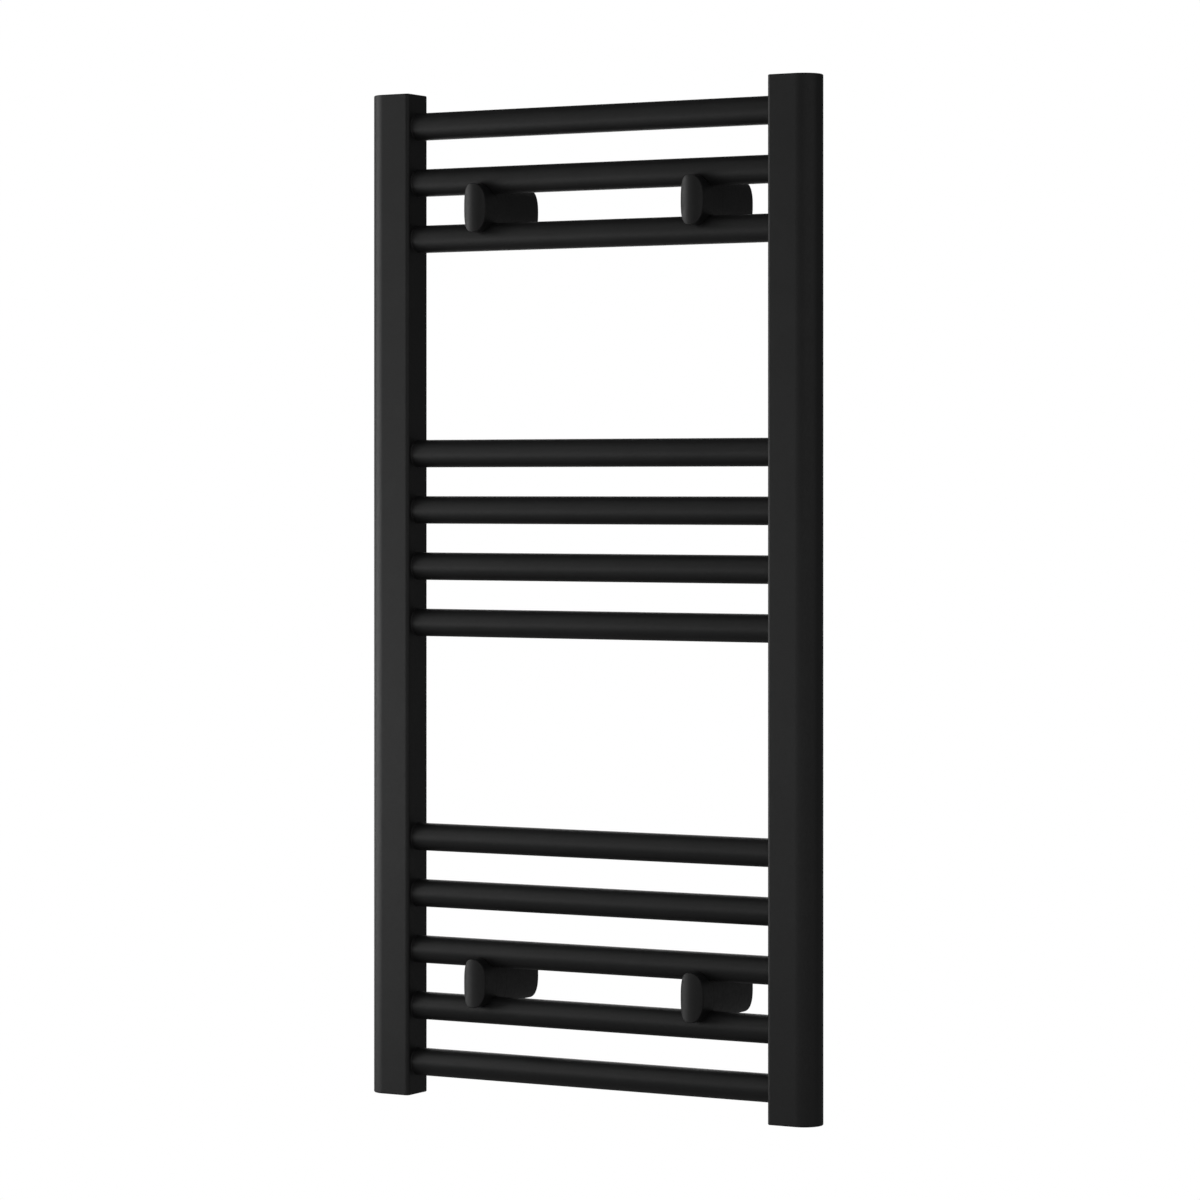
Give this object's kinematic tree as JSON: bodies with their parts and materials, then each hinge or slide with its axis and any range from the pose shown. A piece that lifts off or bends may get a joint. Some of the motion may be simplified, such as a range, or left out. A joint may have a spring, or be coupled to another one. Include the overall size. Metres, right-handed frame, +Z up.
{
  "type": "towel warmer rack",
  "caption": "Wall-hung ladder towel warmer with D-section posts, grouped round bars, oval stand-off brackets, threaded ports and an air vent.",
  "frame": {"origin": "on the wall's surface, at the middle of the rail's width and height", "axes": "+X along the bars, to the right as seen from the front; +Y into the wall; +Z up"},
  "size_m": [0.4, 0.0863, 0.8],
  "materials": {
    "black_coat": "matt black powder coat with a fine texture and a soft sheen",
    "black_cast": "matt black powder coat on die-cast zinc",
    "nickel": "nickel-plated brass, satin",
    "zinc_steel": "zinc-plated steel",
    "rubber": "black EPDM"
  },
  "bodies": {
    "wall_bases": {"wall_cup_upper_left": "black_cast", "grub_screw_upper_left": "zinc_steel", "wall_cup_upper_right": "black_cast", "grub_screw_upper_right": "zinc_steel", "wall_cup_lower_left": "black_cast", "grub_screw_lower_left": "zinc_steel", "wall_cup_lower_right": "black_cast", "grub_screw_lower_right": "zinc_steel"},
    "rack": {"post_left": "black_coat", "end_plate_top_left": "black_coat", "end_plate_bottom_left": "black_coat", "post_right": "black_coat", "end_plate_top_right": "black_coat", "end_plate_bottom_right": "black_coat", "bar_01": "black_coat", "bar_02": "black_coat", "bar_03": "black_coat", "bar_04": "black_coat", "bar_05": "black_coat", "bar_06": "black_coat", "bar_07": "black_coat", "bar_08": "black_coat", "bar_09": "black_coat", "bar_10": "black_coat", "bar_11": "black_coat", "bar_12": "black_coat", "vent_plug": "nickel", "vent_plug_seal": "rubber", "blanking_plug": "nickel", "blanking_plug_seal": "rubber", "bracket_cap_upper_left": "black_cast", "bracket_saddle_upper_left": "black_cast", "clamp_screw_upper_left": "zinc_steel", "bracket_cap_upper_right": "black_cast", "bracket_saddle_upper_right": "black_cast", "clamp_screw_upper_right": "zinc_steel", "bracket_cap_lower_left": "black_cast", "bracket_saddle_lower_left": "black_cast", "clamp_screw_lower_left": "zinc_steel", "bracket_cap_lower_right": "black_cast", "bracket_saddle_lower_right": "black_cast", "clamp_screw_lower_right": "zinc_steel"},
    "vent_spindle": {"vent_spindle": "nickel", "vent_spindle_seal": "rubber"}
  },
  "joints": [
    {"name": "wall_distance", "type": "slide", "parent": "wall_bases", "child": "rack", "axis": [0, -1, 0], "range_m": [0, 0.012]},
    {"name": "vent_turn", "type": "hinge", "parent": "rack", "child": "vent_spindle", "pos_m": [0.1805, -0.065, 0.392], "axis": [0, 0, 1], "range_deg": [0, 360]}
  ]
}
